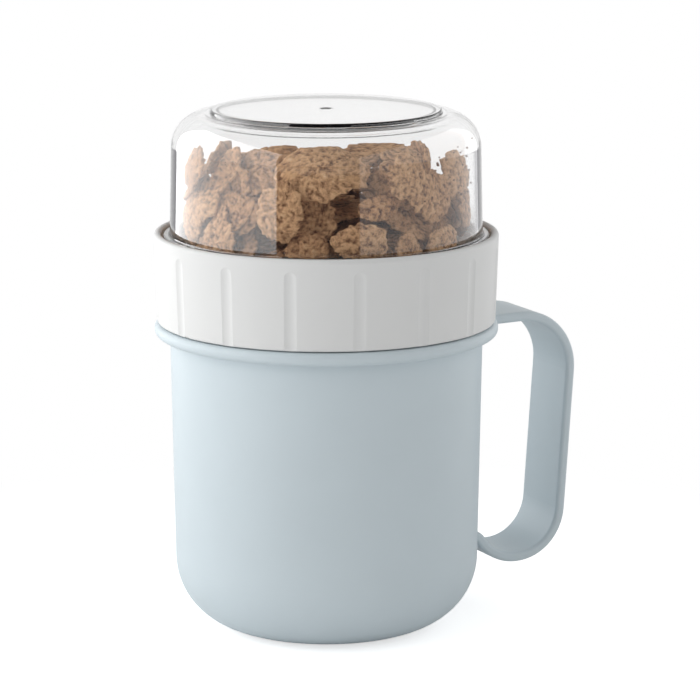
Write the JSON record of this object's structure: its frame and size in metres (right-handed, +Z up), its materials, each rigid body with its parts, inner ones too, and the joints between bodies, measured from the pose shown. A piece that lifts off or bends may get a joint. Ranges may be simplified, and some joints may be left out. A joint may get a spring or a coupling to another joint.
{
  "type": "muesli cup",
  "caption": "Handled cereal cup with a screw collar, a closed partition and a clear upper cup upside down on top, filled with flakes.",
  "frame": {"origin": "centre of the mug's base, on the surface it stands on", "axes": "+Z up along the cup's axis, -Y towards the front, the handle pointing between +X and +Y"},
  "size_m": [0.1236, 0.0996, 0.1517],
  "materials": {
    "mug_plastic": "satin pale blue-grey moulded plastic",
    "seal_silicone": "soft translucent silicone",
    "collar_plastic": "semi-gloss white moulded plastic",
    "clear_plastic": "polished clear moulded plastic",
    "cereal": "dry toasted flakes"
  },
  "bodies": {
    "mug": {"mug": "mug_plastic"},
    "mug_seal": {"mug_seal": "seal_silicone"},
    "collar": {"collar": "collar_plastic", "cereal_flakes": "cereal"},
    "dome_seal": {"dome_seal": "seal_silicone"},
    "dome": {"dome": "clear_plastic"}
  },
  "joints": [
    {"name": "collar_lift", "type": "slide", "parent": "mug", "child": "mug_seal", "axis": [0, 0, 1], "range_m": [0, 0.0241]},
    {"name": "collar_turn", "type": "hinge", "parent": "mug_seal", "child": "collar", "pos_m": [0, 0, 0.0915], "axis": [0, 0, 1], "range_deg": [0, 360]},
    {"name": "dome_lift", "type": "slide", "parent": "collar", "child": "dome_seal", "axis": [0, 0, 1], "range_m": [0, 0.0481]},
    {"name": "dome_turn", "type": "hinge", "parent": "dome_seal", "child": "dome", "pos_m": [0, 0, 0.108], "axis": [0, 0, 1], "range_deg": [0, 720]}
  ],
  "couplings": [
    {"joint": "collar_lift", "follows": "collar_turn", "m_per_rad": 0.0038197},
    {"joint": "dome_lift", "follows": "dome_turn", "m_per_rad": 0.0038197}
  ]
}
